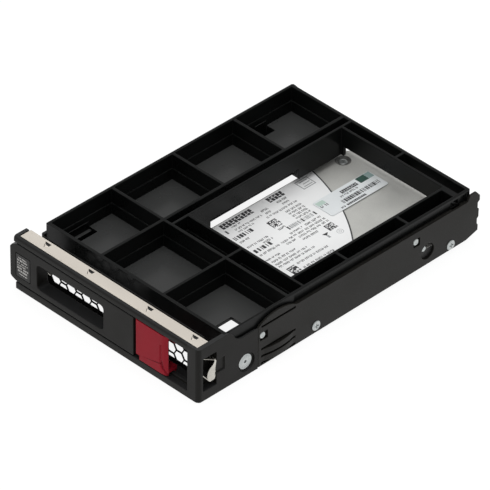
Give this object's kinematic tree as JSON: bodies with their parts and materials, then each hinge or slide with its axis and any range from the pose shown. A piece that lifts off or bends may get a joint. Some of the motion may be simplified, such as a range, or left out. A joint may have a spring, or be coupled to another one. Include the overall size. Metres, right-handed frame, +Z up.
{
  "type": "hot-swap drive carrier with solid-state drive",
  "caption": "Low-profile hot-swap drive carrier: black ribbed tray on steel rails, hinged front lever, red sliding latch, honeycomb vent, solid-state drive bolted inside.",
  "frame": {"origin": "middle of the carrier's underside, at the middle of its overall box", "axes": "+Y runs from the front lever to the drive's connector end, +X is to the right seen from the front, +Z is up"},
  "size_m": [0.1084, 0.158, 0.026],
  "materials": {
    "black_plastic": "fine satin texture",
    "tray_plastic": "semi-gloss moulded",
    "black_steel": "satin black coat",
    "vent_steel": "satin black coat",
    "strip_steel": "satin",
    "spring_steel": "bright",
    "zinc": "bright zinc plate",
    "red_plastic": "satin",
    "drive_alloy": "fine blasted",
    "board_green": "solder mask",
    "chip_black": "moulded",
    "pad_grey": "soft pad",
    "tantalum": "moulded",
    "contact_gold": "gold plate",
    "label_paper": "printed film",
    "sticker_paper": "printed film",
    "label_black": "printed film"
  },
  "bodies": {
    "carrier": {"arm_nut_left": "zinc", "arm_nut_right": "zinc", "arm_screw_left": "zinc", "arm_screw_right": "zinc", "barcode_sticker": "sticker_paper", "bracket_screw_front": "zinc", "bracket_screw_rear": "zinc", "capacitor_1": "tantalum", "capacitor_2": "tantalum", "capacitor_3": "tantalum", "capacitor_4": "tantalum", "circuit_board": "board_green", "contact_strip": "contact_gold", "controller_chip": "chip_black", "cover_screw_1": "zinc", "cover_screw_2": "zinc", "cover_screw_3": "zinc", "cover_screw_4": "zinc", "drive_label": "label_paper", "emi_strip": "strip_steel", "flash_chip_1": "chip_black", "flash_chip_2": "chip_black", "flash_chip_3": "chip_black", "flash_chip_4": "chip_black", "front_frame": "black_plastic", "honeycomb_vent": "vent_steel", "latch_spring": "spring_steel", "left_nut": "zinc", "left_rail": "black_steel", "left_rivet_front": "zinc", "left_rivet_rear": "zinc", "left_screw": "zinc", "lever_pin": "zinc", "locating_pin": "zinc", "memory_chip": "chip_black", "rail_screw_front": "zinc", "rail_screw_rear": "zinc", "right_rail": "black_steel", "right_rivet_front": "zinc", "right_rivet_rear": "zinc", "sata_connector": "chip_black", "side_spring": "spring_steel", "ssd_base": "drive_alloy", "ssd_cover": "drive_alloy", "thermal_pad": "pad_grey", "tray": "tray_plastic"},
    "lever": {"lever": "black_plastic", "lever_label": "label_black", "lever_spring": "spring_steel"},
    "latch": {"release_latch": "red_plastic"}
  },
  "joints": [
    {"name": "lever_hinge", "type": "hinge", "parent": "carrier", "child": "lever", "pos_m": [-0.04675, -0.0735, 0.013], "axis": [0, 0, -1], "range_deg": [0, 50]},
    {"name": "latch_slide", "type": "slide", "parent": "carrier", "child": "latch", "axis": [1, 0, 0], "range_m": [0, 0.0035], "stiffness_N_per_m": 350, "deforming": ["latch_spring"]}
  ]
}
